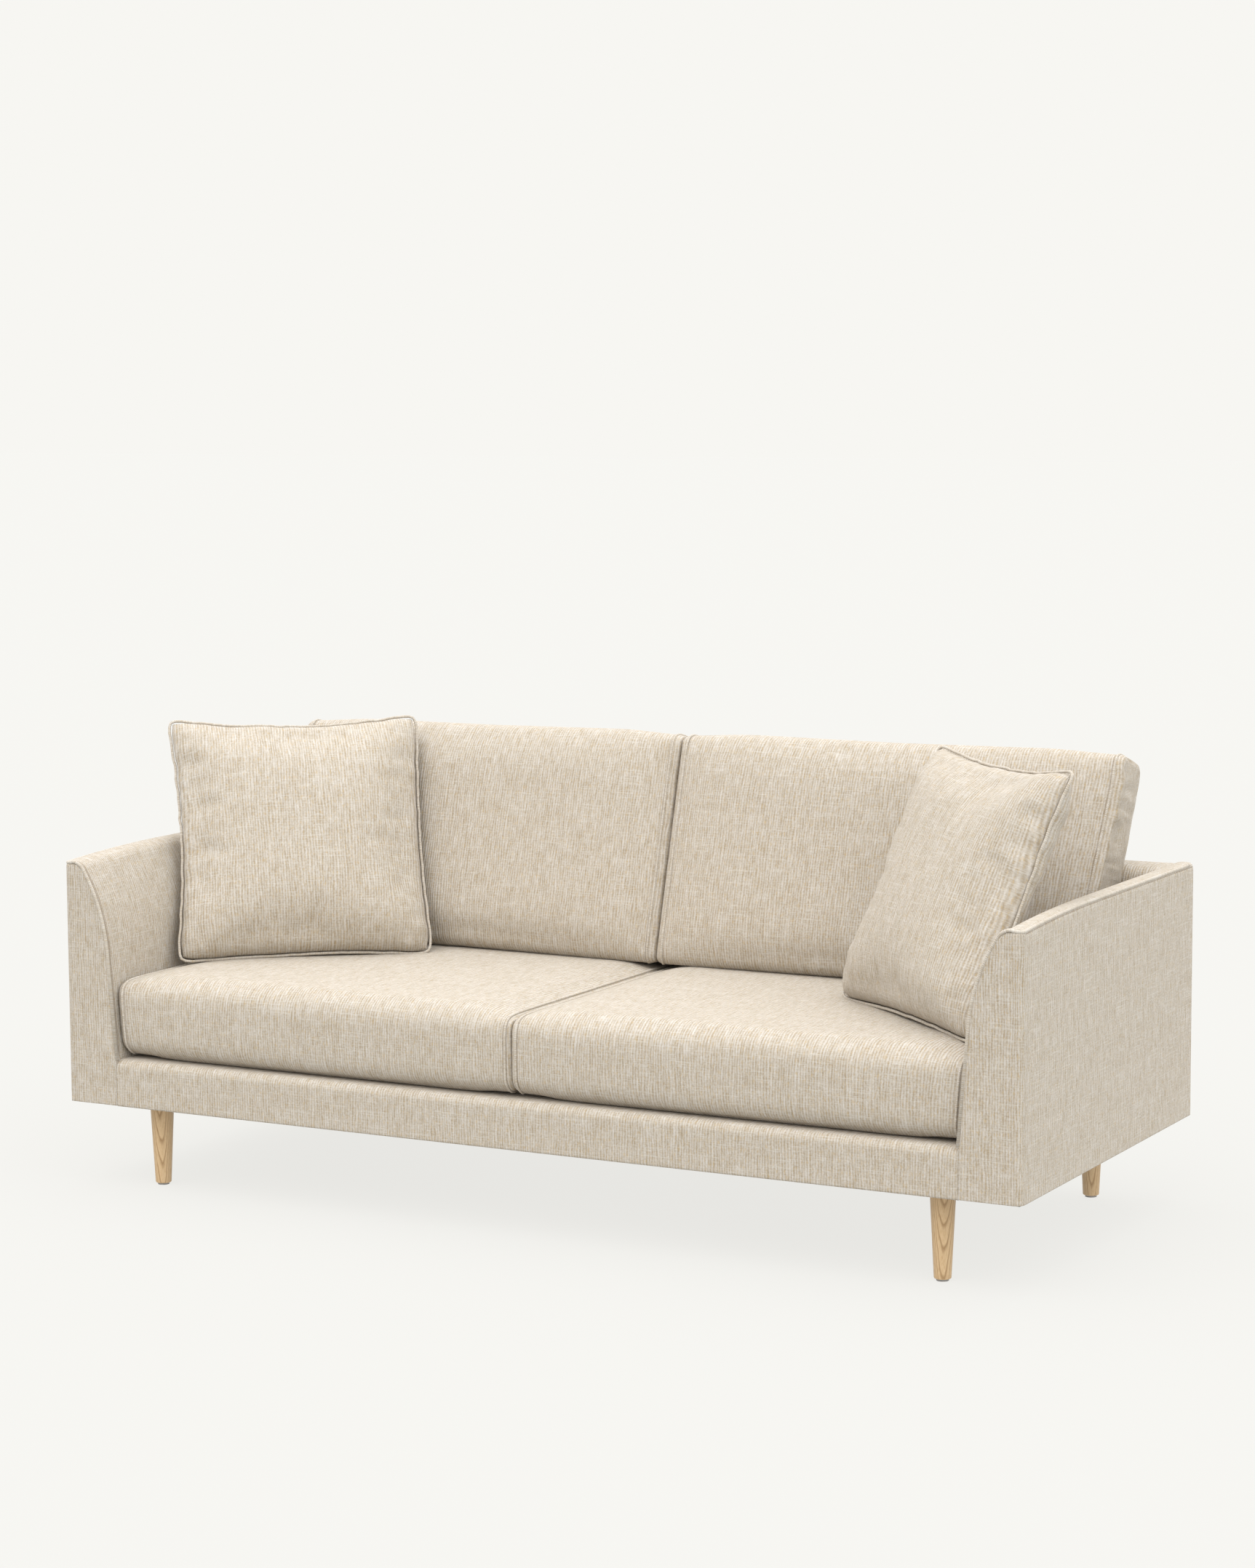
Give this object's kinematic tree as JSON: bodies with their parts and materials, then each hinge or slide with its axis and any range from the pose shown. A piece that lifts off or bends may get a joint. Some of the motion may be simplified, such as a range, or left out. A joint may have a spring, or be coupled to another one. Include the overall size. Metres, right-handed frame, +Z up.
{
  "type": "sofa",
  "caption": "Upholstered sofa with slim flared arms, a low back, loose seat and back cushions, scatter pillows and round tapered wooden legs.",
  "frame": {"origin": "on the floor, under the middle of the overall box", "axes": "+X to the right as seen from the front, along the width; +Y to the rear; +Z up. The front of the sofa faces -Y. Left and right in names are as seen from the front."},
  "size_m": [2.15, 0.92, 0.947],
  "materials": {
    "upholstery": "matte",
    "padding": "matte",
    "dust_cloth": "matte",
    "pine": "matte",
    "hardboard": "matte",
    "ash": "satin",
    "steel": "satin",
    "clip": "matte",
    "glide": "matte"
  },
  "bodies": {
    "sofa_frame": {"front_rail": "pine", "rear_rail": "pine", "side_rail_left": "pine", "side_rail_right": "pine", "centre_stretcher": "pine", "leg_blocks": "pine", "arm_post_left": "pine", "arm_post_right": "pine", "arm_top_rail_left": "pine", "arm_top_rail_right": "pine", "arm_liner_left": "hardboard", "arm_liner_right": "hardboard", "back_upright_left": "pine", "back_upright_middle": "pine", "back_upright_right": "pine", "back_top_rail": "pine", "back_board": "hardboard", "seat_springs": "steel", "spring_clips": "clip", "deck_pad": "padding", "deck_cloth": "upholstery", "dust_cover": "dust_cloth", "frame_bolts": "steel", "upright_screws": "steel", "rail_foam": "padding", "arm_foam_left": "padding", "arm_foam_right": "padding", "back_foam": "padding", "rail_cover": "upholstery", "arm_inner_cover_left": "upholstery", "arm_inner_cover_right": "upholstery", "arm_outer_cover_left": "upholstery", "arm_outer_cover_right": "upholstery", "arm_piping_left": "upholstery", "arm_piping_right": "upholstery", "back_inner_cover": "upholstery", "back_outer_cover": "upholstery", "leg_front_left": "ash", "leg_front_right": "ash", "leg_rear_left": "ash", "leg_rear_right": "ash", "glides": "glide", "hanger_bolts": "steel", "tee_nuts": "steel"},
    "seat_cushion_left": {"seat_foam_left": "padding", "seat_cover_left": "upholstery"},
    "back_cushion_left": {"back_fill_left": "padding", "back_cover_left": "upholstery"},
    "scatter_pillow_left": {"pillow_pad_left": "padding", "pillow_cover_left": "upholstery"},
    "seat_cushion_right": {"seat_foam_right": "padding", "seat_cover_right": "upholstery"},
    "back_cushion_right": {"back_fill_right": "padding", "back_cover_right": "upholstery"},
    "scatter_pillow_right": {"pillow_pad_right": "padding", "pillow_cover_right": "upholstery"}
  },
  "joints": [
    {"name": "seat_cushion_left_pull_out", "type": "slide", "parent": "sofa_frame", "child": "seat_cushion_left", "axis": [0, -1, 0], "range_m": [0, 0.76]},
    {"name": "back_cushion_left_lift_out", "type": "slide", "parent": "sofa_frame", "child": "back_cushion_left", "axis": [0, 0.2419, 0.9703], "range_m": [0, 0.5]},
    {"name": "scatter_pillow_left_lift_off", "type": "slide", "parent": "sofa_frame", "child": "scatter_pillow_left", "axis": [0.4511, -0.5514, 0.7018], "range_m": [0, 0.5]},
    {"name": "seat_cushion_right_pull_out", "type": "slide", "parent": "sofa_frame", "child": "seat_cushion_right", "axis": [0, -1, 0], "range_m": [0, 0.76]},
    {"name": "back_cushion_right_lift_out", "type": "slide", "parent": "sofa_frame", "child": "back_cushion_right", "axis": [0, 0.2419, 0.9703], "range_m": [0, 0.5]},
    {"name": "scatter_pillow_right_lift_off", "type": "slide", "parent": "sofa_frame", "child": "scatter_pillow_right", "axis": [-0.4511, -0.5514, 0.7018], "range_m": [0, 0.5]}
  ]
}
